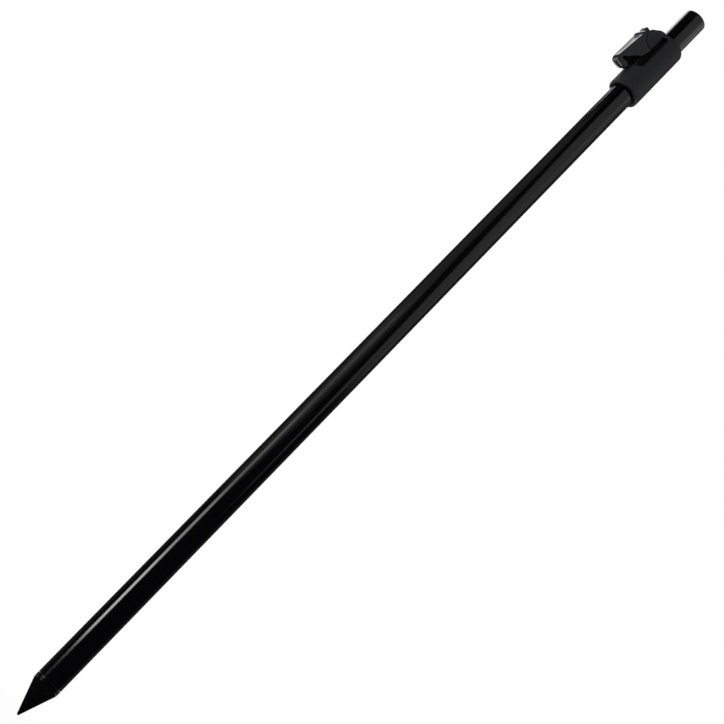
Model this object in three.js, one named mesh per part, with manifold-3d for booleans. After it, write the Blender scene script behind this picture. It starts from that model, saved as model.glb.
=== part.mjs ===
// Telescopic bank stick, collapsed, with its cam lever closed.
// Millimetres, +Z up the stick, origin at the tip of the ground spike. The lever is on the -X side.
import * as THREE from "three";
import { mergeVertices } from "three/addons/utils/BufferGeometryUtils.js";
import Module from "manifold-3d";

const wasm = await Module();
wasm.setup();

// Driving dimensions

const fitGap = 0.15; // radial clearance of a piece that fits in or on another
const seatGap = 0.1; // between two faces that seat on each other
const runningGap = 0.3; // between a moving piece and its neighbour
const cutOverrun = 2; // how far every cutter runs past what it cuts
const fullRound = 48; // facets round the stick
const smallRound = 24; // facets round a pin or screw
const arcSteps = 6; // chords in a quarter circle
const bevelSteps = 2;

const outerTubeWall = 0.8;
const outerTubeLength = 504;

const spikeConeLength = 20;
const spikePointRadius = 0.5;
const spikeLandLength = 3;
const spigotLength = 32;
const spigotChamfer = 1;

const innerTubeRadius = 6.5;
const innerTubeWall = 0.8;
const tubeClearance = 0.7; // radial, between the tubes

const wiperHeight = 4;

const collarWall = 2.75; // from the outer tube to the collar's outside
const collarHeight = 48.5;
const collarSocketDepth = 9.5; // length of outer tube inside the collar
const collarTopFillet = 2.2;
const collarFootFillet = 0.9;

const windowFloorHeight = 16.5; // above the collar's foot
const windowTopRing = 3.2; // height of the closed ring above the window
const windowIntoTube = 0.5; // how far the window's flat goes into the inner tube's round
const windowFloorFillet = 4.5;
const windowTopFillet = 1;

const pinRadius = 1.5;
const pinBeyondShoe = 4; // from the shoe's outer face out to the lever pin
const pinBelowCollarTop = 10;

const earRadius = 6.3; // round the pin
const earThickness = 2.4;
const earEdgeBevel = 0.5;
const earBeyondShoe = 0.35; // from the shoe's outer face to the ears' inner edge
const earRootBeyondWindow = 1.2; // from the window's flat
const earRootOverlap = 0.3; // of the ears into the collar's top ring
const earRimEnd = 55; // degrees above straight out, where the rim meets the crown

const camRadius = 3.3;
const camEccentricity = 0.4;
const leverWebWidth = 4.6;
const leverWebBevel = 0.4;
const leverHeadWidth = 10.6;
const leverTipWidth = 6.4;
const leverEdgeBevel = 0.8;
const leverBeyondPin = 9; // from the pin to the lever's outermost point
const leverTipAboveFoot = 9.4; // from the collar's foot to the lever's lower end
const leverEarRoom = 0.9; // between an ear's rim and the handle
const leverWebInset = 0.4; // from the lever's outermost point to the web's outer face
const leverWebAbovePin = 3;
const leverWebBelowPin = 12;
const leverWebRound = 1.2;
const leverRibWidth = 2;
const leverRibGap = 1.2; // between the rib and the collar
const leverRibAboveTip = 2;

const shoeBeyondTube = 2; // from the inner tube to the shoe's outer face
const shoeWidth = 9;
const shoeBelowWindowTop = 0.5;
const shoePadThickness = 0.7;

const screwRadius = 1.5;
const screwAboveFoot = 5;
const screwRecess = 0.2;
const screwSocketRadius = 0.85;
const screwSocketDepth = 1.1;
const hexagonSides = 6;

const stopHeadLength = 12;
const stopSpigotLength = 16;
const stopChamfer = 0.8;
const stopRingSection = 0.8; // radius of the rubber ring's section
const stopRingSides = 8;
const stopRingAboveFoot = 6;
const stopFootAboveSpigot = 39.7; // room below the stop bush at rest

const capWall = 1.4; // from the inner tube to the cap's outside
const capHeight = 27.5;
const capFloor = 1.5; // between the tube's socket and the insert's seat
const capTopChamfer = 0.5;
const insertRadius = 6;
const insertHeight = 14;
const threadBoreRadius = 4.15; // minor radius of a 3/8 inch thread
const threadMouthChamfer = 0.7;

// Distances from the stick's axis

const outerTubeRadius = innerTubeRadius + tubeClearance + outerTubeWall;
const collarRadius = outerTubeRadius + collarWall;
const windowDepthFromAxis = innerTubeRadius - windowIntoTube;
const shoeOuterFace = innerTubeRadius + shoeBeyondTube;
const earInnerFace = shoeOuterFace + earBeyondShoe;
const earRootFromAxis = windowDepthFromAxis + earRootBeyondWindow;
const pinFromAxis = shoeOuterFace + pinBeyondShoe;
const leverInnerFace = shoeOuterFace + runningGap;
const leverReach = pinFromAxis + leverBeyondPin;
const leverWebReach = leverReach - leverWebInset;
const capRadius = innerTubeRadius + capWall;

// Levels up the stick

const landTop = spikeConeLength + spikeLandLength;
const spigotTop = landTop + spigotLength;
const tubeFoot = landTop + seatGap;
const tubeTop = tubeFoot + outerTubeLength;
const collarFoot = tubeTop - collarSocketDepth;
const collarTop = collarFoot + collarHeight;
const wiperFoot = tubeTop + seatGap;
const wiperTop = wiperFoot + wiperHeight;
const windowFloor = collarFoot + windowFloorHeight;
const windowTop = collarTop - windowTopRing;
const pinHeight = collarTop - pinBelowCollarTop;
const capFoot = collarTop + runningGap;
const capTop = capFoot + capHeight;
const capTubeSocketDepth = capHeight - insertHeight - capFloor;
const innerTubeTop = capFoot + capTubeSocketDepth - seatGap;
const stopFoot = spigotTop + stopFootAboveSpigot;
const stopShoulder = stopFoot + stopHeadLength; // rises 420 mm to just short of the wiper bush
const innerTubeFoot = stopShoulder + seatGap;
const leverFoot = collarFoot + leverTipAboveFoot;
const shoeTop = windowTop - shoeBelowWindowTop;
const shoeFoot = windowFloor + windowFloorFillet;
const earGap = leverWebWidth / 2 + runningGap; // from the middle plane to an ear

// Shapes

// A geometry as a solid that can be joined and cut.
function solidOf(geometry) {
  const plain = geometry.index ? geometry.toNonIndexed() : geometry.clone();
  plain.deleteAttribute("normal");
  plain.deleteAttribute("uv");
  const merged = mergeVertices(plain);
  return new wasm.Manifold(
    new wasm.Mesh({
      numProp: 3,
      vertProperties: merged.attributes.position.array,
      triVerts: new Uint32Array(merged.index.array),
    }),
  );
}

// A solid as a geometry with flat faces.
function geometryOf(solid) {
  const mesh = solid.getMesh();
  const geometry = new THREE.BufferGeometry();
  geometry.setAttribute("position", new THREE.BufferAttribute(mesh.vertProperties, mesh.numProp));
  geometry.setIndex(new THREE.BufferAttribute(mesh.triVerts, 1));
  const flat = geometry.toNonIndexed();
  flat.computeVertexNormals();
  return flat;
}

// A piece turned round the stick's axis, from its [radius, height] outline.
function turned(outline, sides = fullRound) {
  const points = outline.map(([radius, height]) => new THREE.Vector2(radius, height));
  return new THREE.LatheGeometry(points, sides).rotateX(Math.PI / 2);
}

// A ring-shaped or tubular piece: the outline returns to its first point.
function turnedRing(outline, sides = fullRound) {
  return turned([...outline, outline[0]], sides);
}

// A plate in the plane that holds the stick's axis and the lever: points are [distance out, height].
function plate(outline, width, bevel = 0) {
  const shape = new THREE.Shape(outline.map(([out, height]) => new THREE.Vector2(out, height)));
  const core = width - 2 * bevel;
  const geometry = new THREE.ExtrudeGeometry(shape, {
    depth: core,
    steps: 1,
    curveSegments: arcSteps,
    bevelEnabled: bevel > 0,
    bevelThickness: bevel,
    bevelSize: bevel,
    bevelOffset: -bevel,
    bevelSegments: bevelSteps,
  });
  geometry.translate(0, 0, -core / 2);
  const outward = new THREE.Vector3(-1, 0, 0);
  const up = new THREE.Vector3(0, 0, 1);
  const across = new THREE.Vector3(0, 1, 0);
  return geometry.applyMatrix4(new THREE.Matrix4().makeBasis(outward, up, across));
}

// Points of an arc, angles in degrees from straight out, anticlockwise towards up.
function arc(out, height, radius, from, to) {
  const steps = Math.max(1, Math.round((Math.abs(to - from) / 90) * arcSteps));
  return Array.from({ length: steps + 1 }, (_, i) => {
    const angle = THREE.MathUtils.degToRad(from + ((to - from) * i) / steps);
    return [out + radius * Math.cos(angle), height + radius * Math.sin(angle)];
  });
}

// A bar across the lever's plane, at a distance out and a height.
function crossBar(out, height, radius, width) {
  return new THREE.CylinderGeometry(radius, radius, width, smallRound).translate(-out, 0, height);
}

// Ground spike: cone, land and spigot.

function groundSpike() {
  const spigotRadius = outerTubeRadius - outerTubeWall - fitGap;
  return turned([
    [0, 0],
    [spikePointRadius, 0],
    [outerTubeRadius, spikeConeLength],
    [outerTubeRadius, landTop],
    [spigotRadius, landTop],
    [spigotRadius, spigotTop - spigotChamfer],
    [spigotRadius - spigotChamfer, spigotTop],
    [0, spigotTop],
  ]);
}

// Tubes

function tube(radius, wall, foot, top) {
  return turnedRing([
    [radius - wall, foot],
    [radius, foot],
    [radius, top],
    [radius - wall, top],
  ]);
}

function wiperBush() {
  const bore = innerTubeRadius + fitGap;
  return tube(outerTubeRadius, outerTubeRadius - bore, wiperFoot, wiperTop);
}

// Clamp collar: turned body, window, two ears, pin bore and screw hole.

function collarBody() {
  const socketRadius = outerTubeRadius + fitGap;
  const boreRadius = innerTubeRadius + fitGap;
  const shoulder = wiperTop + seatGap;
  const filletCentre = collarRadius - collarTopFillet;
  return turnedRing([
    [socketRadius, collarFoot],
    ...arc(collarRadius - collarFootFillet, collarFoot + collarFootFillet, collarFootFillet, -90, 0),
    ...arc(filletCentre, collarTop - collarTopFillet, collarTopFillet, 0, 90),
    [boreRadius, collarTop],
    [boreRadius, shoulder],
    [socketRadius, shoulder],
  ]);
}

function collarWindow() {
  const outside = leverReach + cutOverrun;
  const low = windowFloorFillet;
  const high = windowTopFillet;
  const outline = [
    [outside, windowFloor],
    [outside, windowTop],
    ...arc(windowDepthFromAxis + high, windowTop - high, high, 90, 180),
    ...arc(windowDepthFromAxis + low, windowFloor + low, low, 180, 270),
  ];
  return plate(outline, 2 * (collarRadius + cutOverrun));
}

// The ear's upper edge, as shares of the way out and down from its root to its rim.
const earCrownShares = [
  [0.4, 0.07],
  [0.7, 0.37],
];

function collarEar(side) {
  const innerAngle = THREE.MathUtils.radToDeg(Math.acos((pinFromAxis - earInnerFace) / earRadius));
  const rim = arc(pinFromAxis, pinHeight, earRadius, -180 + innerAngle, earRimEnd);
  const rimEnd = rim[rim.length - 1];
  const crown = earCrownShares.map(([outShare, downShare]) => [
    THREE.MathUtils.lerp(earRootFromAxis, rimEnd[0], outShare),
    THREE.MathUtils.lerp(collarTop, rimEnd[1], downShare),
  ]);
  const outline = [
    [earRootFromAxis, windowTop + earRootOverlap],
    [earInnerFace, windowTop + earRootOverlap],
    ...rim,
    ...crown.reverse(),
    [earRootFromAxis, collarTop],
  ];
  return plate(outline, earThickness, earEdgeBevel).translate(0, side * (earGap + earThickness / 2), 0);
}

function collarScrewHole() {
  const reach = collarRadius + cutOverrun;
  return new THREE.CylinderGeometry(screwRadius + fitGap, screwRadius + fitGap, reach, smallRound)
    .rotateZ(Math.PI / 2)
    .translate(reach / 2, 0, collarFoot + screwAboveFoot);
}

function clampCollar() {
  const pinBore = crossBar(pinFromAxis, pinHeight, pinRadius + fitGap, 2 * (collarRadius + cutOverrun));
  return geometryOf(
    solidOf(collarBody())
      .subtract(solidOf(collarWindow()))
      .add(solidOf(collarEar(1)))
      .add(solidOf(collarEar(-1)))
      .subtract(solidOf(pinBore))
      .subtract(solidOf(collarScrewHole())),
  );
}

// Grub screw in the collar's back, its point on the outer tube.

function collarScrew() {
  const inner = outerTubeRadius + seatGap;
  const outer = collarRadius - screwRecess;
  const length = outer - inner;
  const body = new THREE.CylinderGeometry(screwRadius, screwRadius, length, smallRound)
    .rotateZ(Math.PI / 2)
    .translate(inner + length / 2, 0, collarFoot + screwAboveFoot);
  const socketLength = screwSocketDepth + cutOverrun;
  const socket = new THREE.CylinderGeometry(screwSocketRadius, screwSocketRadius, socketLength, hexagonSides)
    .rotateZ(Math.PI / 2)
    .translate(outer - screwSocketDepth + socketLength / 2, 0, collarFoot + screwAboveFoot);
  return geometryOf(solidOf(body).subtract(solidOf(socket)));
}

// Cam lever: a web with the cam between the ears, and a handle with a hooked tip below them.

// The handle's outline: shares of the way from the inner face out to the reach, and from the tip up to the pin.
const handleShares = [
  [0.9, 0.96],
  [0.9, 0.83],
  [0.92, 0.68],
  [0.94, 0.51],
  [0.97, 0.34],
  [1, 0.17],
  [0.98, 0.065],
  [0.88, 0.005],
  [0.66, 0],
  [0.44, 0.02],
  [0.27, 0.06],
  [0.25, 0.12],
  [0.34, 0.155],
  [0.5, 0.155],
  [0.68, 0.13],
  [0.78, 0.125],
  [0.79, 0.155],
  [0.7, 0.2],
  [0.58, 0.26],
  [0.47, 0.34],
  [0.32, 0.43],
  [0.18, 0.49],
  [0.06, 0.6],
  [0, 0.78],
  [0, 0.96],
];

const handleOutlineSteps = 72;

function smoothOutline(shares, steps) {
  const corners = shares.map(
    ([outShare, upShare]) =>
      new THREE.Vector3(
        THREE.MathUtils.lerp(leverInnerFace, leverReach, outShare),
        THREE.MathUtils.lerp(leverFoot, pinHeight, upShare),
        0,
      ),
  );
  const curve = new THREE.CatmullRomCurve3(corners, true, "centripetal");
  return curve.getPoints(steps).slice(1).map((point) => [point.x, point.y]);
}

// Narrows the handle from its head to its tip.
function tapered(geometry) {
  const place = geometry.attributes.position;
  for (let i = 0; i < place.count; i += 1) {
    const rise = THREE.MathUtils.smoothstep(place.getZ(i), leverFoot, pinHeight);
    const width = THREE.MathUtils.lerp(leverTipWidth, leverHeadWidth, rise);
    place.setY(i, (place.getY(i) * width) / leverHeadWidth);
  }
  return geometry;
}

function leverWeb() {
  const top = pinHeight + leverWebAbovePin;
  const foot = pinHeight - leverWebBelowPin;
  const outline = [
    [leverInnerFace + leverWebRound, foot],
    [leverWebReach - leverWebRound, foot],
    ...arc(leverWebReach - leverWebRound, top - leverWebRound, leverWebRound, 0, 90),
    [pinFromAxis - camEccentricity, pinHeight + camRadius - leverWebBevel],
    [leverInnerFace + leverWebRound, pinHeight],
  ];
  return plate(outline, leverWebWidth, leverWebBevel);
}

// A thin rib in the hollow between the handle and its hooked tip.
function leverRib() {
  const face = collarRadius + leverRibGap;
  const outer = leverWebReach - leverWebRound;
  const foot = leverFoot + leverRibAboveTip;
  const top = pinHeight - leverWebBelowPin + leverWebRound;
  return plate([[face, foot], [outer, foot], [outer, top], [face, top]], leverRibWidth);
}

function camLever() {
  const outline = smoothOutline(handleShares, handleOutlineSteps);
  const handle = tapered(plate(outline.reverse(), leverHeadWidth, leverEdgeBevel));
  const cutWidth = leverHeadWidth + cutOverrun;
  const earRoom = crossBar(pinFromAxis, pinHeight, earRadius + leverEarRoom, cutWidth);
  const cam = crossBar(pinFromAxis - camEccentricity, pinHeight, camRadius, leverWebWidth);
  const pinBore = crossBar(pinFromAxis, pinHeight, pinRadius + fitGap, cutWidth);
  return geometryOf(
    solidOf(handle)
      .subtract(solidOf(earRoom))
      .add(solidOf(leverWeb()))
      .add(solidOf(leverRib()))
      .add(solidOf(cam))
      .subtract(solidOf(pinBore)),
  );
}

function leverPin() {
  return crossBar(pinFromAxis, pinHeight, pinRadius, 2 * (earGap + earThickness));
}

// Clamp shoe and its rubber pad: what is left of a block outside a round of the given radius.

function shoeBlock(innerRadius, outerFace, outerRadius) {
  const block = plate(
    [
      [windowDepthFromAxis + fitGap, shoeFoot],
      [outerFace, shoeFoot],
      [outerFace, shoeTop],
      [windowDepthFromAxis + fitGap, shoeTop],
    ],
    shoeWidth,
  );
  const foot = shoeFoot - cutOverrun;
  const top = shoeTop + cutOverrun;
  const core = turned([
    [0, foot],
    [innerRadius, foot],
    [innerRadius, top],
    [0, top],
  ]);
  const left = solidOf(block).subtract(solidOf(core));
  if (!outerRadius) return geometryOf(left);
  const round = turned([
    [0, foot],
    [outerRadius, foot],
    [outerRadius, top],
    [0, top],
  ]);
  return geometryOf(left.intersect(solidOf(round)));
}

function shoePad() {
  const inner = innerTubeRadius + runningGap;
  return shoeBlock(inner, shoeOuterFace, inner + shoePadThickness);
}

function clampShoe() {
  return shoeBlock(innerTubeRadius + runningGap + shoePadThickness + seatGap, shoeOuterFace, 0);
}

// Stop bush and its rubber ring, at the inner tube's lower end.

function stopBush() {
  const headRadius = outerTubeRadius - outerTubeWall - fitGap;
  const spigotRadius = innerTubeRadius - innerTubeWall - fitGap;
  const ringHeight = stopFoot + stopRingAboveFoot;
  const grooveHalf = stopRingSection + fitGap;
  const grooveFloor = headRadius - 2 * stopRingSection - fitGap;
  const stopTop = stopShoulder + stopSpigotLength;
  return turned([
    [0, stopFoot],
    [headRadius - stopChamfer, stopFoot],
    [headRadius, stopFoot + stopChamfer],
    [headRadius, ringHeight - grooveHalf],
    [grooveFloor, ringHeight - grooveHalf],
    [grooveFloor, ringHeight + grooveHalf],
    [headRadius, ringHeight + grooveHalf],
    [headRadius, stopShoulder],
    [spigotRadius, stopShoulder],
    [spigotRadius, stopTop - stopChamfer],
    [spigotRadius - stopChamfer, stopTop],
    [0, stopTop],
  ]);
}

function stopRing() {
  const height = stopFoot + stopRingAboveFoot;
  const centre = outerTubeRadius - outerTubeWall - seatGap - stopRingSection;
  const outline = Array.from({ length: stopRingSides }, (_, i) => {
    const angle = (2 * Math.PI * i) / stopRingSides;
    return [centre + stopRingSection * Math.cos(angle), height + stopRingSection * Math.sin(angle)];
  });
  return turnedRing(outline);
}

// Head: cap on the inner tube's upper end, with a thread insert in its top.

function headCap() {
  const tubeSocket = innerTubeRadius + fitGap;
  const insertSocket = insertRadius + fitGap;
  return turned([
    [0, capFoot + capTubeSocketDepth],
    [tubeSocket, capFoot + capTubeSocketDepth],
    [tubeSocket, capFoot],
    [capRadius, capFoot],
    [capRadius, capTop - capTopChamfer],
    [capRadius - capTopChamfer, capTop],
    [insertSocket, capTop],
    [insertSocket, capTop - insertHeight],
    [0, capTop - insertHeight],
  ]);
}

function headInsert() {
  const foot = capTop - insertHeight + seatGap;
  return turnedRing([
    [threadBoreRadius, foot],
    [insertRadius, foot],
    [insertRadius, capTop],
    [threadBoreRadius + threadMouthChamfer, capTop],
    [threadBoreRadius, capTop - threadMouthChamfer],
  ]);
}

// Finishes

const finishes = {
  blackTube: { color: 0x0c0d10, roughness: 0.28, metalness: 0.6 },
  mattBlack: { color: 0x202227, roughness: 0.62, metalness: 0 },
  glossBlack: { color: 0x15171b, roughness: 0.25, metalness: 0 },
  rubber: { color: 0x17181a, roughness: 0.9, metalness: 0 },
  nylon: { color: 0x2a2b2d, roughness: 0.55, metalness: 0 },
  blackSteel: { color: 0x2b2c2f, roughness: 0.4, metalness: 0.8 },
  brass: { color: 0xb08d4c, roughness: 0.35, metalness: 1 },
};

const stick = new THREE.Group();

function add(name, geometry, finish) {
  const mesh = new THREE.Mesh(geometry, new THREE.MeshStandardMaterial(finishes[finish]));
  mesh.name = name;
  stick.add(mesh);
}

add("ground_spike", groundSpike(), "blackTube");
add("outer_tube", tube(outerTubeRadius, outerTubeWall, tubeFoot, tubeTop), "blackTube");
add("wiper_bush", wiperBush(), "nylon");
add("clamp_collar", clampCollar(), "mattBlack");
add("collar_screw", collarScrew(), "blackSteel");
add("cam_lever", camLever(), "glossBlack");
add("lever_pin", leverPin(), "blackSteel");
add("clamp_shoe", clampShoe(), "mattBlack");
add("shoe_pad", shoePad(), "rubber");
add("inner_tube", tube(innerTubeRadius, innerTubeWall, innerTubeFoot, innerTubeTop), "blackTube");
add("stop_bush", stopBush(), "nylon");
add("stop_ring", stopRing(), "rubber");
add("head_cap", headCap(), "blackTube");
add("head_insert", headInsert(), "brass");

export default stick;
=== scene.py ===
"""Looks of the telescopic bank stick: fine meshes, finishes, camera, floor and light round its frame."""

import math

import bmesh
import bpy
from mathutils import Matrix, Vector
from mathutils.geometry import tessellate_polygon


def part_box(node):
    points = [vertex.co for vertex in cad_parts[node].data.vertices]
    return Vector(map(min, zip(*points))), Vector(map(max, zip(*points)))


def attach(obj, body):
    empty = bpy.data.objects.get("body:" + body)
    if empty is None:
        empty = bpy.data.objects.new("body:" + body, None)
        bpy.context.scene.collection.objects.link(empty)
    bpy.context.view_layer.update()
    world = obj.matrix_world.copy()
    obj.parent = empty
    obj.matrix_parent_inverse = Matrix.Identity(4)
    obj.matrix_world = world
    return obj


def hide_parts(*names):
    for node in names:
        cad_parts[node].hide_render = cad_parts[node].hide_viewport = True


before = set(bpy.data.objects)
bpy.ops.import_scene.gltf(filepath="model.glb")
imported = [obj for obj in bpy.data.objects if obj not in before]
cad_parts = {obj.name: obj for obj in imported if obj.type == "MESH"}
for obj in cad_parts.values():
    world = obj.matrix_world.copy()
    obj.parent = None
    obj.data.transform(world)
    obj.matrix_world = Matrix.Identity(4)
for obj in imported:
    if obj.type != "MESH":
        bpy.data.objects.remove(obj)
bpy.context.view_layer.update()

# Places from the frame, in metres

TUBE_LOW, TUBE_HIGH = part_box("outer_tube")
INNER_LOW, INNER_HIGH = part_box("inner_tube")
COLLAR_LOW, COLLAR_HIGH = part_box("clamp_collar")
LEVER_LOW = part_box("cam_lever")[0]
PIN_LOW, PIN_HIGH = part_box("lever_pin")
SHOE_LOW, SHOE_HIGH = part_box("clamp_shoe")
SCREW_LOW, SCREW_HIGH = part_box("collar_screw")
CAP_LOW, CAP_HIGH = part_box("head_cap")
INSERT_LOW, INSERT_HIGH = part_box("head_insert")

SPIKE_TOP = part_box("ground_spike")[1].z
WIPER_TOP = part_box("wiper_bush")[1].z
TUBE_RADIUS = TUBE_HIGH.x
INNER_RADIUS = INNER_HIGH.x
COLLAR_RADIUS = COLLAR_HIGH.x
CAP_RADIUS = CAP_HIGH.x
INSERT_RADIUS = INSERT_HIGH.x
PIN_OUT = -(PIN_LOW.x + PIN_HIGH.x) / 2
PIN_RISE = (PIN_LOW.z + PIN_HIGH.z) / 2
PIN_CENTRE = Vector((-PIN_OUT, 0, PIN_RISE))
PIN_RADIUS = (PIN_HIGH.x - PIN_LOW.x) / 2
PIN_INSET = 0.0009  # how far inside the ears the pin's ends are hidden
PIN_HALF = PIN_HIGH.y - PIN_INSET

X_AXIS = (1, 0, 0)
Y_AXIS = (0, 1, 0)
Z_AXIS = (0, 0, 1)

# How finely the pieces are made

TURNED_SIDES = 128
SMALL_SIDES = 48
HEXAGON_SIDES = 6
CORNER_STEPS = 4
ARC_STEPS = 10  # chords in a quarter circle
OUTLINE_STEPS = 200
HOLD = 0.0002  # a line this far past each soft corner keeps the flats flat
CLEAR = 0.002  # how far a cutter runs past what it cuts
FINE = 0.00002  # the least step along the ears' room
SMOOTHING = 0.5  # how far each pass of softening moves a point
EDGE_SEGMENTS = 3
SHARP_ANGLE = 38  # degrees; a softer edge is shaded smooth

# Sizes that the boxes don't give, in metres

TUBE_WALL = 0.0008
TUBE_EDGE = 0.00015
FIT_GAP = 0.00015
SEAT_GAP = 0.0001

CONE_HEIGHT = 0.020
LAND_HEIGHT = 0.003
POINT_RADIUS = 0.0005
SHOULDER_EDGE = 0.0004
SPIGOT_CHAMFER = 0.001

COLLAR_TOP_FILLET = 0.0022
COLLAR_FOOT_FILLET = 0.0009
WINDOW_FLOOR_RISE = 0.0165
WINDOW_TOP_RING = 0.0032
WINDOW_DEPTH = 0.006
WINDOW_FLOOR_FILLET = 0.0045
WINDOW_TOP_FILLET = 0.001
EAR_RADIUS = 0.0063
EAR_THICKNESS = 0.0024
EAR_INNER_FACE = 0.00885
EAR_ROOT = 0.0072
EAR_ROOT_OVERLAP = 0.0003
EAR_RIM_END = 55  # degrees above straight out
EAR_CROWN_SHARES = ((0.7, 0.37), (0.4, 0.07))  # outwards and downwards, from the root to the rim's end
COLLAR_GRAIN = 0.0003  # voxel of the moulded collar
COLLAR_SOFTENING = 7
SHADE_DEPTH = 0.0012  # deeper than this the collar is painted dull black as shade

CAM_RADIUS = 0.0033
CAM_THROW = 0.0004
WEB_WIDTH = 0.0046
HEAD_WIDTH = 0.0106
TIP_WIDTH = 0.0064
INNER_FACE = 0.0088
EAR_ROOM = 0.0002
WEB_REACH = 0.0211
WEB_ABOVE_PIN = 0.003
WEB_BELOW_PIN = 0.012
WEB_ROUND = 0.0012
RIB_WIDTH = 0.003
RIB_GAP = 0.0003  # between the rib and the collar
RIB_ABOVE_TIP = 0.002
RIB_ABOVE_FLOOR = 0.0004  # where it steps into the window
DISH_DEPTH = 0.0005
DISH_WIDTH_SHARE = 0.8
DISH_MARGIN = 0.002  # from its ends to the handle's
DISH_FADE = 0.006
DISH_FACING = 0.7  # how squarely a face has to look out to be sunk
LEVER_GRAIN = 0.00022  # voxel of the moulded lever
HANDLE_SOFTENING = 9
LEVER_SOFTENING = 6

# The handle's outline, as shares of the way out from its inner face and of the way up to the pin
HANDLE_SHARES = (
    (0.93, 0.96), (0.93, 0.83), (0.945, 0.68), (0.96, 0.51), (0.98, 0.34), (1, 0.17),
    (0.98, 0.065), (0.88, 0.005), (0.66, 0), (0.44, 0.02), (0.27, 0.06), (0.25, 0.12),
    (0.34, 0.155), (0.5, 0.155), (0.68, 0.13), (0.78, 0.125), (0.79, 0.155), (0.7, 0.2),
    (0.58, 0.26), (0.47, 0.34), (0.32, 0.43), (0.18, 0.49), (0.06, 0.6), (0, 0.78),
    (0, 0.96),
)

SCREW_CHAMFER = 0.00025
SCREW_SOCKET = 0.00085
SCREW_SOCKET_DEPTH = 0.0011
PIN_CHAMFER = 0.0002
SHOE_EDGE = 0.0002
SHOE_BORE_GAP = 0.0003
PAD_THICKNESS = 0.0007

CAP_TUBE_SOCKET = 0.012
CAP_EDGE = 0.0006
INSERT_DEPTH = 0.014
THREAD_MINOR = 0.00415
THREAD_MAJOR = 0.00476
THREAD_PITCH = 0.000977
THREAD_CHAMFER = 0.0007
THREAD_STEPS_PER_TURN = 40
THREAD_SECTION_SIDES = 3
TRIANGLE_CENTRE = 1 / 3  # share of a triangle's height that its centre lies from its base


# Outlines

def arc(x, y, radius, start, end):
    """Points of an arc, angles in degrees."""
    steps = max(1, round(abs(end - start) / 90 * ARC_STEPS))
    angles = [math.radians(start + (end - start) * i / steps) for i in range(steps + 1)]
    return [(x + radius * math.cos(a), y + radius * math.sin(a)) for a in angles]


def softened(corners):
    """An outline whose corners (x, y, trim) are rounded; corners (x, y) stay."""
    soft = []
    for i, (x, y, *trims) in enumerate(corners):
        corner = Vector((x, y))
        if not trims:
            soft.append(corner)
            continue
        trim = trims[0]
        back = Vector(corners[i - 1][:2]) - corner
        on = Vector(corners[(i + 1) % len(corners)][:2]) - corner
        start = corner + back.normalized() * trim
        end = corner + on.normalized() * trim
        room = 2 * (trim + HOLD)
        if back.length > room:
            soft.append(corner + back.normalized() * (trim + HOLD))
        for k in range(CORNER_STEPS + 1):
            share = k / CORNER_STEPS
            soft.append(start.lerp(corner, share).lerp(corner.lerp(end, share), share))
        if on.length > room:
            soft.append(corner + on.normalized() * (trim + HOLD))
    return soft


def curved(corners, steps):
    """A closed centripetal curve through the corners."""
    points = [Vector(corner) for corner in corners]
    count = len(points)
    made = []
    for step in range(steps):
        way_round = step * count / steps
        i, share = int(way_round), way_round % 1
        near = [points[(i + k) % count] for k in (-1, 0, 1, 2)]
        knots = [0.0]
        for here, there in zip(near, near[1:]):
            knots.append(knots[-1] + math.sqrt((there - here).length))
        place = knots[1] + (knots[2] - knots[1]) * share
        for reach in (1, 2):
            near = [
                here.lerp(there, (place - low) / (high - low))
                for here, there, low, high in zip(near, near[1:], knots, knots[reach:])
            ]
        made.append(near[0].lerp(near[1], share))
    return made


# Meshes

def made_mesh(name, bm):
    bmesh.ops.recalc_face_normals(bm, faces=bm.faces)
    mesh = bpy.data.meshes.new(name)
    bm.to_mesh(mesh)
    bm.free()
    return mesh


def placed(name, data):
    """A new object at the origin, with its mesh, camera or lamp."""
    obj = bpy.data.objects.new(name, data)
    bpy.context.scene.collection.objects.link(obj)
    return obj


def turned(name, corners, sides=TURNED_SIDES):
    """A piece turned round Z from its [radius, height] outline.

    The outline closes on itself, unless it starts on the axis.
    """
    outline = softened(corners)
    angles = [2 * math.pi * i / sides for i in range(sides)]
    bm = bmesh.new()
    rings = []
    for radius, height in outline:
        if radius == 0:
            rings.append([bm.verts.new((0, 0, height))] * sides)
            continue
        rings.append([bm.verts.new((radius * math.cos(a), radius * math.sin(a), height)) for a in angles])
    if outline[0][0] > 0:
        rings.append(rings[0])
    for low, high in zip(rings, rings[1:]):
        for i in range(sides):
            j = (i + 1) % sides
            loop = [low[i], low[j], high[j], high[i]]
            bm.faces.new([vert for k, vert in enumerate(loop) if vert is not loop[k - 1]])
    return placed(name, made_mesh(name, bm))


def plate(name, outline, width, middle=0.0):
    """A plate across the lever's plane, from its [distance out, height] outline."""
    bm = bmesh.new()
    triangles = tessellate_polygon([[Vector(point).to_3d() for point in outline]])
    sides = []
    for y in (middle - width / 2, middle + width / 2):
        sides.append([bm.verts.new((-out, y, height)) for out, height in outline])
    for side in sides:
        for triangle in triangles:
            bm.faces.new([side[i] for i in triangle])
    for i in range(len(outline)):
        bm.faces.new([sides[0][i - 1], sides[0][i], sides[1][i], sides[1][i - 1]])
    return placed(name, made_mesh(name, bm))


def laid(obj, axis, centre):
    """Turns a piece made round Z to lie along another axis, at its centre."""
    turn = Vector(Z_AXIS).rotation_difference(Vector(axis)).to_matrix().to_4x4()
    obj.data.transform(Matrix.Translation(centre) @ turn)
    return obj


def bar(name, radius, length, axis, centre, sides=SMALL_SIDES):
    """A plain round cutter along an axis."""
    half = length / 2
    rod = turned(name, ((0, -half), (radius, -half), (radius, half), (0, half)), sides)
    return laid(rod, axis, centre)


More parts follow.
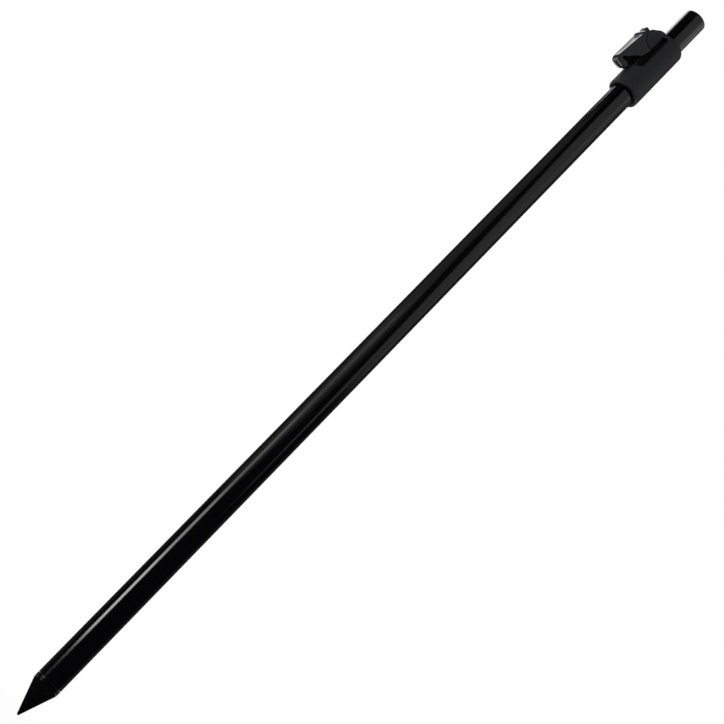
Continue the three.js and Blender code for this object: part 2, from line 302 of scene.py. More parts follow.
def applied(obj):
    """The object with its modifiers made part of its mesh."""
    seen = obj.evaluated_get(bpy.context.evaluated_depsgraph_get())
    mesh = bpy.data.meshes.new_from_object(seen)
    obj.modifiers.clear()
    obj.data = mesh
    mesh.name = obj.name
    return obj


def cut(obj, *others, operation="DIFFERENCE"):
    """Cuts the other solids from the object, or keeps what it shares with them."""
    for other in others:
        step = obj.modifiers.new("cut", "BOOLEAN")
        step.operation = operation
        step.solver = "EXACT"
        step.object = other
        applied(obj)
        bpy.data.objects.remove(other)
    return obj


def gathered(obj, *others):
    """Puts the other solids into the object's mesh; a moulded skin then makes them one."""
    bm = bmesh.new()
    bm.from_mesh(obj.data)
    for other in others:
        bm.from_mesh(other.data)
        bpy.data.objects.remove(other)
    bm.to_mesh(obj.data)
    bm.free()
    return obj


def moulded(obj, grain, softening):
    """The object as one moulded skin with soft edges."""
    skin = obj.modifiers.new("skin", "REMESH")
    skin.mode = "VOXEL"
    skin.voxel_size = grain
    soft = obj.modifiers.new("soft", "SMOOTH")
    soft.factor = SMOOTHING
    soft.iterations = softening
    return applied(obj)


def edged(obj, width):
    """The object with its sharp edges broken."""
    edge = obj.modifiers.new("edge", "BEVEL")
    edge.width = width
    edge.segments = EDGE_SEGMENTS
    edge.limit_method = "ANGLE"
    return applied(obj)


# Node trees

class Number:
    """A number in a node tree: sums written with it add Math nodes."""

    def __init__(self, nodes, socket):
        self.nodes = nodes
        self.socket = socket

    def __add__(self, other):
        return self.nodes.maths("ADD", self, other)

    def __radd__(self, other):
        return self.nodes.maths("ADD", other, self)

    def __sub__(self, other):
        return self.nodes.maths("SUBTRACT", self, other)

    def __rsub__(self, other):
        return self.nodes.maths("SUBTRACT", other, self)

    def __mul__(self, other):
        return self.nodes.maths("MULTIPLY", self, other)

    def __rmul__(self, other):
        return self.nodes.maths("MULTIPLY", other, self)


class Nodes:
    """A node tree and the one way in which nodes are added to it."""

    def __init__(self, tree):
        self.tree = tree

    def node(self, kind, settings=None, inputs=None):
        """Adds a node with its settings, and then its sockets' values or links."""
        made = self.tree.nodes.new(kind)
        for name, value in (settings or {}).items():
            setattr(made, name, value)
        for name, value in (inputs or {}).items():
            self.feed(made.inputs[name], value)
        return made

    def feed(self, socket, value):
        if isinstance(value, Number):
            value = value.socket
        if isinstance(value, bpy.types.NodeSocket):
            self.tree.links.new(value, socket)
        elif socket.type == "RGBA":
            socket.default_value = (*value, 1)
        else:
            socket.default_value = value

    def number(self, socket):
        return Number(self, socket)

    def maths(self, operation, *values):
        made = self.node("ShaderNodeMath", {"operation": operation}, dict(enumerate(values)))
        return self.number(made.outputs[0])


# Tubes and spike

def ground_spike():
    land_top = CONE_HEIGHT + LAND_HEIGHT
    spigot = TUBE_RADIUS - TUBE_WALL - FIT_GAP
    return turned("spike_turned", (
        (0, 0),
        (POINT_RADIUS, 0, POINT_RADIUS / 2),
        (TUBE_RADIUS, CONE_HEIGHT, SHOULDER_EDGE),
        (TUBE_RADIUS, land_top, TUBE_EDGE),
        (spigot, land_top),
        (spigot, SPIKE_TOP - SPIGOT_CHAMFER),
        (spigot - SPIGOT_CHAMFER, SPIKE_TOP),
        (0, SPIKE_TOP),
    ))


def tube(name, radius, foot, top):
    return turned(name, (
        (radius - TUBE_WALL, foot, TUBE_EDGE),
        (radius, foot, TUBE_EDGE),
        (radius, top, TUBE_EDGE),
        (radius - TUBE_WALL, top, TUBE_EDGE),
    ))


# Clamp collar

def collar_body():
    foot, top = COLLAR_LOW.z, COLLAR_HIGH.z
    socket = TUBE_RADIUS + FIT_GAP
    bore = INNER_RADIUS + FIT_GAP
    shoulder = WIPER_TOP + SEAT_GAP
    return turned("collar_moulded", (
        (socket, foot, TUBE_EDGE),
        (COLLAR_RADIUS, foot, COLLAR_FOOT_FILLET),
        (COLLAR_RADIUS, top, COLLAR_TOP_FILLET),
        (bore, top, TUBE_EDGE),
        (bore, shoulder),
        (socket, shoulder),
    ))


def collar_window():
    floor = COLLAR_LOW.z + WINDOW_FLOOR_RISE
    top = COLLAR_HIGH.z - WINDOW_TOP_RING
    outside = -LEVER_LOW.x + CLEAR
    low, high = WINDOW_FLOOR_FILLET, WINDOW_TOP_FILLET
    outline = [(outside, floor), (outside, top)]
    outline += arc(WINDOW_DEPTH + high, top - high, high, 90, 180)
    outline += arc(WINDOW_DEPTH + low, floor + low, low, 180, 270)
    return plate("window", outline, 2 * (COLLAR_RADIUS + CLEAR))


def collar_ear(side):
    top = COLLAR_HIGH.z
    root = top - WINDOW_TOP_RING + EAR_ROOT_OVERLAP
    inner = math.degrees(math.acos((PIN_OUT - EAR_INNER_FACE) / EAR_RADIUS))
    rim = arc(PIN_OUT, PIN_RISE, EAR_RADIUS, inner - 180, EAR_RIM_END)
    end_out, end_rise = rim[-1]
    crown = [
        (EAR_ROOT + (end_out - EAR_ROOT) * out, top + (end_rise - top) * down)
        for out, down in EAR_CROWN_SHARES
    ]
    outline = [(EAR_ROOT, root), (EAR_INNER_FACE, root), *rim, *crown, (EAR_ROOT, top)]
    return plate("ear", outline, EAR_THICKNESS, side * (PIN_HIGH.y - EAR_THICKNESS / 2))


def pin_bore():
    return bar("pin_bore", PIN_RADIUS + FIT_GAP, 2 * (PIN_HALF + SEAT_GAP), Y_AXIS, PIN_CENTRE)


def clamp_collar():
    screw_centre = Vector((COLLAR_RADIUS, 0, (SCREW_LOW.z + SCREW_HIGH.z) / 2))
    screw_hole = bar("screw_hole", SCREW_HIGH.y + FIT_GAP, COLLAR_RADIUS, X_AXIS, screw_centre)
    body = cut(collar_body(), collar_window(), screw_hole)
    ears = [cut(collar_ear(side), pin_bore()) for side in (1, -1)]
    return moulded(gathered(body, *ears), COLLAR_GRAIN, COLLAR_SOFTENING)


# Cam lever

def rising(height, start, end):
    """0 at the start height, 1 at the end height, smooth between them."""
    share = min(1.0, max(0.0, (height - start) / (end - start)))
    return share * share * (3 - 2 * share)


def handle_half_width(height):
    return (TIP_WIDTH + (HEAD_WIDTH - TIP_WIDTH) * rising(height, LEVER_LOW.z, PIN_RISE)) / 2


def ear_room_foot(out):
    """How high the handle may go, below the round room that it leaves for the ears."""
    aside = (out - PIN_OUT) / (EAR_RADIUS + EAR_ROOM)
    if abs(aside) >= 1:
        return PIN_RISE
    return PIN_RISE - (EAR_RADIUS + EAR_ROOM) * math.sqrt(1 - aside * aside)


def handle_outline():
    """The handle's outline, which goes up its inner side and then only outwards along the ears' room."""
    reach, foot = -LEVER_LOW.x, LEVER_LOW.z
    corners = [
        (INNER_FACE + (reach - INNER_FACE) * out, foot + (PIN_RISE - foot) * up)
        for out, up in HANDLE_SHARES
    ]
    outline = []
    for point in curved(corners, OUTLINE_STEPS):
        room_foot = ear_room_foot(point.x)
        if point.y > room_foot and point.x < outline[-1].x + FINE:
            continue
        point.y = min(point.y, room_foot)
        outline.append(point)
    return outline


def lever_handle():
    handle = moulded(plate("lever_moulded", handle_outline(), HEAD_WIDTH), LEVER_GRAIN, HANDLE_SOFTENING)
    for vert in handle.data.vertices:
        vert.co.y *= handle_half_width(vert.co.z) * 2 / HEAD_WIDTH
    return handle


def dished(handle):
    """Sinks a shallow hollow down the handle's outer face."""
    foot, top = LEVER_LOW.z + DISH_MARGIN, PIN_RISE - DISH_MARGIN
    facing_out = [vert for vert in handle.data.vertices if vert.normal.x < -DISH_FACING]
    for vert in facing_out:
        across = min(1.0, abs(vert.co.y) / (handle_half_width(vert.co.z) * DISH_WIDTH_SHARE))
        along = rising(vert.co.z, foot, foot + DISH_FADE) * rising(vert.co.z, top, top - DISH_FADE)
        vert.co.x += DISH_DEPTH * (1 - across * across) * along
    return handle


def lever_web():
    top, foot = PIN_RISE + WEB_ABOVE_PIN, PIN_RISE - WEB_BELOW_PIN
    outer = WEB_REACH - WEB_ROUND
    outline = [(INNER_FACE + WEB_ROUND, foot), (outer, foot)]
    outline += arc(outer, top - WEB_ROUND, WEB_ROUND, 0, 90)
    outline += [
        (PIN_OUT - CAM_THROW, PIN_RISE + CAM_RADIUS - TUBE_EDGE),
        (INNER_FACE + WEB_ROUND, PIN_RISE),
    ]
    return plate("web", outline, WEB_WIDTH)


def lever_rib():
    """The thin rib in the hollow between the handle and its hooked tip, painted near black as shade."""
    face = COLLAR_RADIUS + RIB_GAP
    inner, outer = INNER_FACE + WEB_ROUND / 2, WEB_REACH - WEB_ROUND
    foot, top = LEVER_LOW.z + RIB_ABOVE_TIP, PIN_RISE - WEB_BELOW_PIN + WEB_ROUND
    step = COLLAR_LOW.z + WINDOW_FLOOR_RISE + RIB_ABOVE_FLOOR
    outline = ((face, foot), (outer, foot), (outer, top), (inner, top), (inner, step), (face, step))
    return plate("rib", outline, RIB_WIDTH)


def cam_lever():
    cam_centre = Vector((CAM_THROW - PIN_OUT, 0, PIN_RISE))
    cam = bar("cam", CAM_RADIUS, WEB_WIDTH, Y_AXIS, cam_centre, TURNED_SIDES)
    handle = dished(lever_handle())
    web = cut(lever_web(), pin_bore())
    lever = gathered(handle, web, cut(cam, pin_bore()), lever_rib())
    return moulded(lever, LEVER_GRAIN, LEVER_SOFTENING)


def lever_pin():
    pin = turned("pin_turned", (
        (0, -PIN_HALF),
        (PIN_RADIUS, -PIN_HALF, PIN_CHAMFER),
        (PIN_RADIUS, PIN_HALF, PIN_CHAMFER),
        (0, PIN_HALF),
    ), SMALL_SIDES)
    return laid(pin, Y_AXIS, PIN_CENTRE)


# Small pieces of the clamp

def collar_screw():
    radius, length = SCREW_HIGH.y, SCREW_HIGH.x - SCREW_LOW.x
    middle = (SCREW_HIGH + SCREW_LOW) / 2
    screw = turned("screw_turned", (
        (0, -length / 2),
        (radius, -length / 2, SCREW_CHAMFER),
        (radius, length / 2, SCREW_CHAMFER),
        (0, length / 2),
    ), SMALL_SIDES)
    laid(screw, X_AXIS, middle)
    mouth = Vector((SCREW_HIGH.x, middle.y, middle.z))
    return cut(screw, bar("hexagon", SCREW_SOCKET, 2 * SCREW_SOCKET_DEPTH, X_AXIS, mouth, HEXAGON_SIDES))


def shoe_piece(name, inner, outer=None):
    """What is left of the shoe's block outside one round about the stick's axis and inside another."""
    foot, top = SHOE_LOW.z, SHOE_HIGH.z
    near, far = WINDOW_DEPTH + FIT_GAP, -SHOE_LOW.x
    block = plate(name, ((near, foot), (far, foot), (far, top), (near, top)), 2 * SHOE_HIGH.y)
    middle = Vector((0, 0, (foot + top) / 2))
    length = top - foot + 2 * CLEAR
    cut(block, bar("round", inner, length, Z_AXIS, middle, TURNED_SIDES))
    if outer:
        cut(block, bar("round", outer, length, Z_AXIS, middle, TURNED_SIDES), operation="INTERSECT")
    return edged(block, SHOE_EDGE)


def clamp_shoe():
    inner = INNER_RADIUS + SHOE_BORE_GAP + PAD_THICKNESS + SEAT_GAP
    return shoe_piece("shoe_moulded", inner)


def shoe_pad():
    inner = INNER_RADIUS + SHOE_BORE_GAP
    return shoe_piece("pad_moulded", inner, inner + PAD_THICKNESS)


# Head

def head_cap():
    foot, top = CAP_LOW.z, CAP_HIGH.z
    bore, seat = INNER_RADIUS + FIT_GAP, INSERT_RADIUS + FIT_GAP
    return turned("cap_turned", (
        (0, foot + CAP_TUBE_SOCKET),
        (bore, foot + CAP_TUBE_SOCKET),
        (bore, foot, TUBE_EDGE),
        (CAP_RADIUS, foot, TUBE_EDGE),
        (CAP_RADIUS, top, CAP_EDGE),
        (seat, top, TUBE_EDGE),
        (seat, top - INSERT_DEPTH),
        (0, top - INSERT_DEPTH),
    ))


def head_insert():
    foot, top = INSERT_LOW.z, INSERT_HIGH.z
    return turned("insert_turned", (
        (THREAD_MAJOR, foot),
        (INSERT_RADIUS, foot, TUBE_EDGE),
        (INSERT_RADIUS, top, TUBE_EDGE),
        (THREAD_MAJOR + THREAD_CHAMFER / 2, top, TUBE_EDGE),
        (THREAD_MAJOR, top - THREAD_CHAMFER / 2, TUBE_EDGE),
    ))


def thread_tree(material):
    """A helical ridge of triangular section: sizes in, a closed mesh out."""
    tree = bpy.data.node_groups.new("thread_ridge", "GeometryNodeTree")
    panel = tree.interface
    names = ("Major radius", "Minor radius", "Pitch", "Turns", "Foot", "Steps per turn")
    sockets = {name: panel.new_socket(name, in_out="INPUT", socket_type="NodeSocketFloat") for name in names}
    panel.new_socket("Geometry", in_out="OUTPUT", socket_type="NodeSocketGeometry")
    nodes = Nodes(tree)
    given = nodes.node("NodeGroupInput").outputs
    major, minor, pitch, turns, foot, steps = [nodes.number(given[name]) for name in names]
    depth = major - minor
    middle = major - depth * TRIANGLE_CENTRE
    whole_steps = nodes.node("FunctionNodeFloatToInt", {"rounding_mode": "ROUND"}, {0: steps})
    helix = nodes.node("GeometryNodeCurveSpiral", inputs={
        "Resolution": whole_steps.outputs[0],
        "Rotations": turns,
        "Start Radius": middle,
        "End Radius": middle,
        "Height": pitch * turns,
    })
    upright = nodes.node("GeometryNodeSetCurveNormal", {"mode": "Z_UP"}, {"Curve": helix.outputs[0]})
    section = nodes.node("GeometryNodeCurvePrimitiveCircle", {"mode": "RADIUS"}, {
        "Resolution": THREAD_SECTION_SIDES,
        "Radius": depth * (2 * TRIANGLE_CENTRE),
    })
    ridge = nodes.node("GeometryNodeCurveToMesh", inputs={
        "Curve": upright.outputs[0],
        "Profile Curve": section.outputs[0],
        "Fill Caps": True,
    })
    lift = nodes.node("ShaderNodeCombineXYZ", inputs={"Z": foot})
    moved = nodes.node("GeometryNodeTransform", inputs={
        "Geometry": ridge.outputs[0],
        "Translation": lift.outputs[0],
    })
    real = nodes.node("GeometryNodeRealizeInstances", inputs={"Geometry": moved.outputs[0]})
    painted = nodes.node("GeometryNodeSetMaterial", inputs={
        "Geometry": real.outputs[0],
        "Material": material,
    })
    nodes.node("NodeGroupOutput", inputs={0: painted.outputs[0]})
    return tree, sockets


def insert_thread(material):
    ridge = placed("insert_thread", bpy.data.meshes.new("insert_thread"))
    tree, sockets = thread_tree(material)
    length = INSERT_HIGH.z - INSERT_LOW.z - THREAD_CHAMFER - THREAD_PITCH
    sizes = {
        "Major radius": THREAD_MAJOR,
        "Minor radius": THREAD_MINOR,
        "Pitch": THREAD_PITCH,
        "Turns": length / THREAD_PITCH,
        "Foot": INSERT_LOW.z + THREAD_PITCH / 2,
        "Steps per turn": THREAD_STEPS_PER_TURN,
    }
    shape = ridge.modifiers.new("thread", "NODES")
    shape.node_group = tree
    for name, value in sizes.items():
        shape[sockets[name].identifier] = float(value)
    return applied(ridge)


# Finishes
#
# The colours are the two between which a finish varies. In a roughness sum the first number is the plain
# finish, and each of the others is how much its pattern adds or takes away.

ALONG = (1, 1, 0.02)  # draws a pattern out along the stick
ALONG_A_LITTLE = (1, 1, 0.3)
ROUND = (0.02, 0.02, 1)  # draws a pattern out round the stick
ROUND_BORE = (0.03, 0.03, 1)

TUBE_COLOURS = ((0.0007, 0.0008, 0.0012), (0.0016, 0.0017, 0.0024))
BAR_COLOURS = ((0.0007, 0.0008, 0.0011), (0.002, 0.0021, 0.0027))
COLLAR_COLOURS = ((0.0058, 0.0072, 0.0105), (0.0098, 0.0113, 0.015))
# painted shade on the collar's bore, window and other inner faces
COLLAR_INSIDE_SHADE = (0.0008, 0.0008, 0.001)
LEVER_COLOURS = ((0.006, 0.007, 0.0105), (0.0095, 0.0108, 0.0145))
# painted shade on the rib and in the lever's hollow
LEVER_HOLLOW_SHADE = (0.0005, 0.0005, 0.0006)
RUBBER_COLOURS = ((0.009, 0.009, 0.0095), (0.019, 0.019, 0.02))
NYLON_COLOURS = ((0.018, 0.018, 0.019), (0.032, 0.032, 0.033))
STEEL_COLOURS = ((0.02, 0.02, 0.023), (0.09, 0.09, 0.095))
BRASS_COLOURS = ((0.72, 0.5, 0.2), (0.45, 0.3, 0.12))
FLOOR_COLOURS = ((0.78, 0.78, 0.78), (0.82, 0.82, 0.82))
WHITE = (1, 1, 1)


class Shader(Nodes):
    """The nodes of a material or a world."""

    def __init__(self, owner):
        owner.use_nodes = True
        super().__init__(owner.node_tree)
        self.owner = owner
        self.tree.nodes.clear()

    def place(self, stretch=(1, 1, 1)):
        """Object coordinates, scaled along each axis."""
        coordinates = self.node("ShaderNodeTexCoord").outputs["Object"]
        return self.node("ShaderNodeMapping", inputs={"Vector": coordinates, "Scale": stretch}).outputs[0]

    def noise(self, scale, detail=2.0, stretch=(1, 1, 1)):
        """Noise about 0.5, with features about 1 / scale metres wide."""
        inputs = {"Vector": self.place(stretch), "Scale": scale, "Detail": detail}
        return self.number(self.node("ShaderNodeTexNoise", inputs=inputs).outputs[0])

    def mixed(self, share, first, second):
        """A colour between two."""
        return self.node("ShaderNodeMix", {"data_type": "RGBA"}, {0: share, 6: first, 7: second}).outputs[2]

    def mixed_surface(self, share, first, second):
        """A surface between two."""
        return self.node("ShaderNodeMixShader", inputs={0: share, 1: first, 2: second}).outputs[0]

    def between(self, value, low, high):
        """0 below low, 1 above high, smooth between them."""
        settings = {"interpolation_type": "SMOOTHSTEP"}
        inputs = {"Value": value, "From Min": low, "From Max": high}
        return self.number(self.node("ShaderNodeMapRange", settings, inputs).outputs[0])

    def axes(self):
        """The Object coordinates as three numbers."""
        parts = self.node("ShaderNodeSeparateXYZ", inputs={0: self.place()}).outputs
        return [self.number(part) for part in parts]

    def from_axis(self, low, high):
        """0 nearer to the stick's axis than low, 1 farther out than high."""
        x, y, _ = self.axes()
        return self.between(x * x + y * y, low * low, high * high)

    def from_middle(self, low, high):
        """0 nearer to the lever's middle plane than low, 1 farther from it than high."""
        _, y, _ = self.axes()
        return self.between(self.maths("ABSOLUTE", y), low, high)

    def behind_stick(self, way):
        """How far a place or direction lies behind the stick, seen from the camera."""
        inputs = {0: way, 1: tuple(-TO_CAMERA)}
        made = self.node("ShaderNodeVectorMath", {"operation": "DOT_PRODUCT"}, inputs)
        return self.number(made.outputs["Value"])

    def bump(self, height, depth):
        """A bumpy surface; its depth is in metres."""
        inputs = {"Height": height, "Distance": depth, "Strength": 1.0}
        return self.node("ShaderNodeBump", inputs=inputs).outputs[0]

    def principled(self, **sockets):
        named = {name.replace("_", " "): value for name, value in sockets.items()}
        return self.node("ShaderNodeBsdfPrincipled", inputs=named).outputs[0]

    def output(self, surface):
        """Makes the surface the material's, and gives the material back."""
        self.node("ShaderNodeOutputMaterial", inputs={"Surface": surface})
        return self.owner


def material_shader(name):
    return Shader(bpy.data.materials.new(name))


def tube_black():
    """Black anodised tube: fine drawn lines along it and a faint unevenness."""
    shader = material_shader("tube_black")
    drawn = shader.noise(scale=1600, stretch=ALONG)
    clouds = shader.noise(scale=60, detail=3.0, stretch=ALONG_A_LITTLE)
    return shader.output(shader.principled(
        Base_Color=shader.mixed(clouds, *TUBE_COLOURS),
        Roughness=0.06 + 0.06 * clouds + 0.03 * drawn,
        Normal=shader.bump(drawn, depth=0.0000012),
    ))


def turned_black():
    """Black anodised bar with the fine rings of the lathe."""
    shader = material_shader("turned_black")
    rings = shader.noise(scale=2600, stretch=ROUND)
    clouds = shader.noise(scale=180, detail=3.0)
    return shader.output(shader.principled(
        Base_Color=shader.mixed(clouds, *BAR_COLOURS),
        Roughness=0.08 + 0.06 * clouds + 0.04 * rings,
        Normal=shader.bump(rings, depth=0.0000025),
    ))


def collar_matt():
    """Matt moulded plastic with a fine grain and faint flow clouds, and painted shade: dull black on its
    inner faces.
    """
    shader = material_shader("collar_matt")
    grain = shader.noise(scale=4200)
    clouds = shader.noise(scale=120, detail=3.0)
    # Painted shade: faces inside the outer skin get a near-black colour and a dull roughness in place of
    # their shadow.
    outside = shader.from_axis(COLLAR_RADIUS - SHADE_DEPTH, COLLAR_RADIUS - SHADE_DEPTH / 2)
    return shader.output(shader.principled(
        Base_Color=shader.mixed(outside, COLLAR_INSIDE_SHADE, shader.mixed(clouds, *COLLAR_COLOURS)),
        Roughness=0.95 - outside * (0.43 - 0.1 * clouds - 0.08 * grain),
        Normal=shader.bump(grain, depth=0.00002),
    ))


def lever_gloss():
    """Glossy moulded plastic, slightly wavy, with painted shade: dull black down in its hollow."""
    shader = material_shader("lever_gloss")
    grain = shader.noise(scale=2400)
    waves = shader.noise(scale=260)
    # Painted shade: near the middle plane and inside the rib's reach the colour is near black and the gloss
    # dull, in place of the hollow's shadow.
    beyond_rib = shader.from_axis(WEB_REACH - 2 * WEB_ROUND, WEB_REACH - WEB_ROUND)
    beside_rib = shader.from_middle(RIB_WIDTH / 2, RIB_WIDTH / 2 + LEVER_GRAIN)
    outside = shader.maths("MAXIMUM", beyond_rib, beside_rib)
    return shader.output(shader.principled(
        Base_Color=shader.mixed(outside, LEVER_HOLLOW_SHADE, shader.mixed(waves, *LEVER_COLOURS)),
        Roughness=0.9 - outside * (0.7 - 0.08 * waves - 0.04 * grain),
        Specular_IOR_Level=0.35,
        Normal=shader.bump(0.3 * grain + waves, depth=0.00001),
    ))


def rubber_black():
    """Black rubber with a fine, dull grain."""
    shader = material_shader("rubber_black")
    grain = shader.noise(scale=3200, detail=4.0)
    return shader.output(shader.principled(
        Base_Color=shader.mixed(grain, *RUBBER_COLOURS),
        Roughness=0.75 + 0.15 * grain,
        Normal=shader.bump(grain, depth=0.00004),
    ))


def nylon_black():
    """Black nylon, faintly mottled."""
    shader = material_shader("nylon_black")
    mottle = shader.noise(scale=700, detail=3.0)
    return shader.output(shader.principled(
        Base_Color=shader.mixed(mottle, *NYLON_COLOURS),
        Roughness=0.42 + 0.16 * mottle,
        Normal=shader.bump(mottle, depth=0.00001),
    ))


def oxide_steel():
    """Steel with a black oxide coat, worn here and there."""
    shader = material_shader("oxide_steel")
    wear = shader.noise(scale=1500, detail=4.0)
    worn = shader.between(wear, low=0.62, high=0.75)
    return shader.output(shader.principled(
        Base_Color=shader.mixed(worn, *STEEL_COLOURS),
        Metallic=0.85,
        Roughness=0.42 - 0.12 * worn,
        Normal=shader.bump(wear, depth=0.000004),
    ))


def turned_brass():
    """Brass with turning rings and a slight tarnish."""
    shader = material_shader("turned_brass")
    rings = shader.noise(scale=3600, stretch=ROUND_BORE)
    tarnish = shader.noise(scale=400, detail=4.0)
    return shader.output(shader.principled(
        Base_Color=shader.mixed(tarnish, *BRASS_COLOURS),
        Metallic=1.0,
        Roughness=0.22 + 0.16 * tarnish + 0.08 * rings,
        Normal=shader.bump(rings, depth=0.000003),
    ))


# Putting the pieces on the frame

def dressed(obj, material, body, node):
    """Gives a finished piece its material, shading and body, and hides the CAD node that it stands for."""
    obj.data.materials.clear()
    obj.data.materials.append(material)
    obj.data.shade_smooth()
    obj.data.set_sharp_from_angle(angle=math.radians(SHARP_ANGLE))
    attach(obj, body)
    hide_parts(node)


def repainted(node, material):
    """Keeps a CAD node and gives it a better material."""
    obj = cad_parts[node]
    obj.data.materials.clear()
    obj.data.materials.append(material)


def dress_stick():
    black, turned_bar, matt, gloss = tube_black(), turned_black(), collar_matt(), lever_gloss()
    rubber, nylon, steel, brass = rubber_black(), nylon_black(), oxide_steel(), turned_brass()
    outer = tube("outer_tube_drawn", TUBE_RADIUS, TUBE_LOW.z, TUBE_HIGH.z)
    inner = tube("inner_tube_drawn", INNER_RADIUS, INNER_LOW.z, INNER_HIGH.z)
    dressed(ground_spike(), turned_bar, "stand", "ground_spike")
    dressed(outer, black, "stand", "outer_tube")
    dressed(clamp_collar(), matt, "stand", "clamp_collar")
    dressed(collar_screw(), steel, "stand", "collar_screw")
    dressed(lever_pin(), steel, "stand", "lever_pin")
    dressed(cam_lever(), gloss, "lever", "cam_lever")
    dressed(clamp_shoe(), matt, "shoe", "clamp_shoe")
    dressed(shoe_pad(), rubber, "shoe", "shoe_pad")
    dressed(inner, black, "mast", "inner_tube")
    dressed(head_cap(), turned_bar, "mast", "head_cap")
    dressed(head_insert(), brass, "mast", "head_insert")
    dressed(insert_thread(brass), brass, "mast", "head_insert")
    repainted("wiper_bush", nylon)
    repainted("stop_bush", nylon)
    repainted("stop_ring", rubber)


# Camera

IMAGE_SIZE = 724
SENSOR_WIDTH = 36
FOCAL_PIXELS = 1500
CAMERA_TURN = math.radians(22)  # from the lever's side plane, towards the lever
CAMERA_TILT = math.radians(17.95)  # looking up
STICK_LEAN = math.radians(44.28)  # of the stick in the picture
CAMERA_DISTANCE = 0.8248
CAMERA_RISE = 0.0036
CAMERA_SIDE = 0.00025
CLIP_START = 0.01

TO_CAMERA = Vector((-math.sin(CAMERA_TURN), -math.cos(CAMERA_TURN), 0))
TO_RIGHT = Vector((math.cos(CAMERA_TURN), -math.sin(CAMERA_TURN), 0))
UPRIGHT = Vector(Z_AXIS)


def set_camera():
    ahead = math.sin(CAMERA_TILT) * UPRIGHT - math.cos(CAMERA_TILT) * TO_CAMERA
    along = math.cos(CAMERA_TILT) * UPRIGHT + math.sin(CAMERA_TILT) * TO_CAMERA
    right = math.sin(STICK_LEAN) * along + math.cos(STICK_LEAN) * TO_RIGHT
    up = math.cos(STICK_LEAN) * along - math.sin(STICK_LEAN) * TO_RIGHT
    data = bpy.data.cameras.new("camera")
    data.sensor_width = SENSOR_WIDTH
    data.lens = FOCAL_PIXELS / IMAGE_SIZE * SENSOR_WIDTH
    data.clip_start = CLIP_START
    camera = placed("camera", data)
    place = CAMERA_DISTANCE * TO_CAMERA + CAMERA_SIDE * TO_RIGHT + CAMERA_RISE * UPRIGHT
    turn = Matrix((right, up, -ahead)).transposed().to_4x4()
    camera.matrix_world = Matrix.Translation(place) @ turn
    bpy.context.scene.camera = camera


# Floor, backdrop and light

FLOOR_RADIUS = 6.0
FLOOR_SIDES = 96
FLOOR_WHITENING = 0.93  # how much of what the camera sees of the floor is plain white
FLOOR_IN_GLOSS = (0.02, 0.02, 0.02)  # the floor as the black gloss shows it
LIT_FLOOR_LEVEL = 2.4  # the floor behind the stick, as the lever's tip shows it
LIT_FLOOR_START = 0.3  # how far behind the stick it begins to be lit
LIT_FLOOR_FULL = 0.6
ROOM_LEVEL = 0.01  # what gloss sees on the camera's side
BACKDROP_LEVEL = 0.06  # what gloss sees behind the stick
BACKDROP_START = 0.1  # where the one turns into the other
BACKDROP_FULL = 0.4
SOFT_LEVEL = 0.75  # what lights matt surfaces from all round
LAMP_DISTANCE = 2.0

# Soft panels that face the stick. Azimuth is in degrees from the camera towards the right, and foot is the
# height of the lower edge's middle. Shift moves a panel to the right. Roll tips it anticlockwise, in degrees.
LAMPS = (
    # name, azimuth, foot, width, height, level, shift, roll
    ("streak_foot", -61, 0.17, 0.75, 0.20, 10.0, 0, 0),
    ("streak_low", -61, 0.37, 0.86, 0.16, 4.0, 0, 0),
    ("streak_middle", -61, 0.53, 0.95, 0.22, 1.65, 0, 0),
    ("streak_high", -62, 0.75, 1.15, 0.30, 0.75, 0, 0),
    ("streak_top", -75, 1.05, 2.6, 0.65, 0.2, 0, 0),
    ("streak_left", -92, 0.56, 0.7, 0.49, 0.28, 0, 0),
    ("streak_right", -37, 0.60, 0.7, 0.55, 0.33, 0, 0),
    ("streak_fade", -16, 0.70, 0.7, 0.35, 0.12, 0, 0),
    ("slanted_wall", 45, 1.61, 4.4, 2.2, 0.46, -1.6, -30),
    ("right_wall", 85, 0.88, 1.5, 1.02, 0.4, 0, 0),
    ("right_top", 98, 1.90, 2.2, 1.2, 0.8, 0, 0),
    ("lever_rim", -138, 1.80, 1.9, 1.4, 2.5, 0, 0),
)


def floor_pale():
    """Pale floor: near white for the camera, dark in the stick's gloss and lit behind the stick."""
    shader = material_shader("floor_pale")
    light_path = shader.node("ShaderNodeLightPath").outputs
    speckle = shader.noise(scale=40, detail=3.0)
    matt = shader.principled(Base_Color=shader.mixed(speckle, *FLOOR_COLOURS), Roughness=1.0)
    white = shader.node("ShaderNodeEmission", inputs={"Color": WHITE, "Strength": 1.0}).outputs[0]
    dark = shader.node("ShaderNodeBsdfDiffuse", inputs={"Color": FLOOR_IN_GLOSS}).outputs[0]
    glow = shader.node("ShaderNodeEmission", inputs={"Color": WHITE, "Strength": LIT_FLOOR_LEVEL}).outputs[0]
    lit = shader.between(shader.behind_stick(shader.place()), LIT_FLOOR_START, LIT_FLOOR_FULL)
    in_gloss = shader.mixed_surface(lit, dark, glow)
    unseen = shader.mixed_surface(light_path["Is Glossy Ray"], matt, in_gloss)
    whitened = shader.number(light_path["Is Camera Ray"]) * FLOOR_WHITENING
    return shader.output(shader.mixed_surface(whitened, unseen, white))


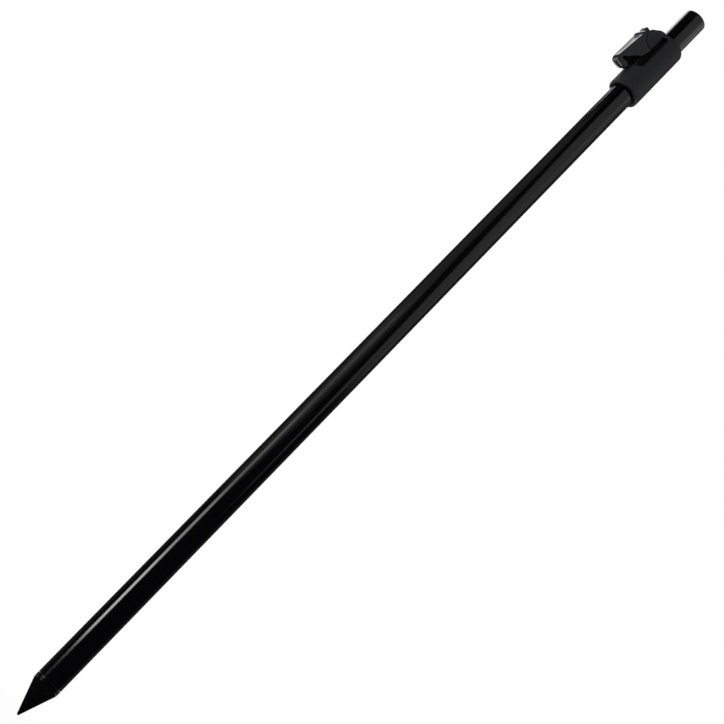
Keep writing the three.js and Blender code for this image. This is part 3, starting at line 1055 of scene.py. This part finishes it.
def set_floor():
    bm = bmesh.new()
    bmesh.ops.create_circle(bm, cap_ends=True, segments=FLOOR_SIDES, radius=FLOOR_RADIUS)
    floor = placed("floor", made_mesh("floor", bm))
    if floor.data.polygons[0].normal.z < 0:
        floor.data.flip_normals()
    floor.data.materials.append(floor_pale())


def set_world():
    """White for the camera, soft light for matt surfaces and a dark room for gloss."""
    world = bpy.data.worlds.new("world")
    bpy.context.scene.world = world
    world.cycles.sampling_method = "NONE"  # it is too plain to need a map of its brightness
    shader = Shader(world)
    light_path = shader.node("ShaderNodeLightPath").outputs
    camera_ray, glossy_ray, transmission_ray = [
        shader.number(light_path[name]) for name in ("Is Camera Ray", "Is Glossy Ray", "Is Transmission Ray")
    ]
    mirror_ray = shader.maths("MAXIMUM", glossy_ray, transmission_ray)
    way = shader.node("ShaderNodeTexCoord").outputs["Generated"]
    backdrop = shader.between(shader.behind_stick(way), BACKDROP_START, BACKDROP_FULL)
    mirrored = ROOM_LEVEL + (BACKDROP_LEVEL - ROOM_LEVEL) * backdrop
    unseen = mirror_ray * mirrored + (1 - mirror_ray) * SOFT_LEVEL
    level = camera_ray + (1 - camera_ray) * unseen
    light = shader.node("ShaderNodeBackground", inputs={"Color": WHITE, "Strength": level})
    shader.node("ShaderNodeOutputWorld", inputs={"Surface": light.outputs[0]})


def add_lamp(name, azimuth, foot, width, height, level, shift, roll):
    turn = math.radians(azimuth)
    out = math.cos(turn) * TO_CAMERA + math.sin(turn) * TO_RIGHT
    data = bpy.data.lights.new(name, "AREA")
    data.shape = "RECTANGLE"
    data.size = width
    data.size_y = height
    data.energy = level * math.pi * width * height
    across = UPRIGHT.cross(out)
    panel = Matrix((across, UPRIGHT, out)).transposed().to_4x4()
    lift = Matrix.Translation((0, height / 2, 0))
    place = Matrix.Translation(LAMP_DISTANCE * out + shift * across + foot * UPRIGHT)
    lamp = placed(name, data)
    lamp.matrix_world = place @ panel @ Matrix.Rotation(math.radians(roll), 4, "Z") @ lift
    lamp.visible_camera = False


def set_lamps():
    for lamp in LAMPS:
        add_lamp(*lamp)


set_camera()
set_floor()
set_world()
set_lamps()
dress_stick()
bpy.context.scene.view_settings.view_transform = "Standard"

bpy.context.view_layer.update()
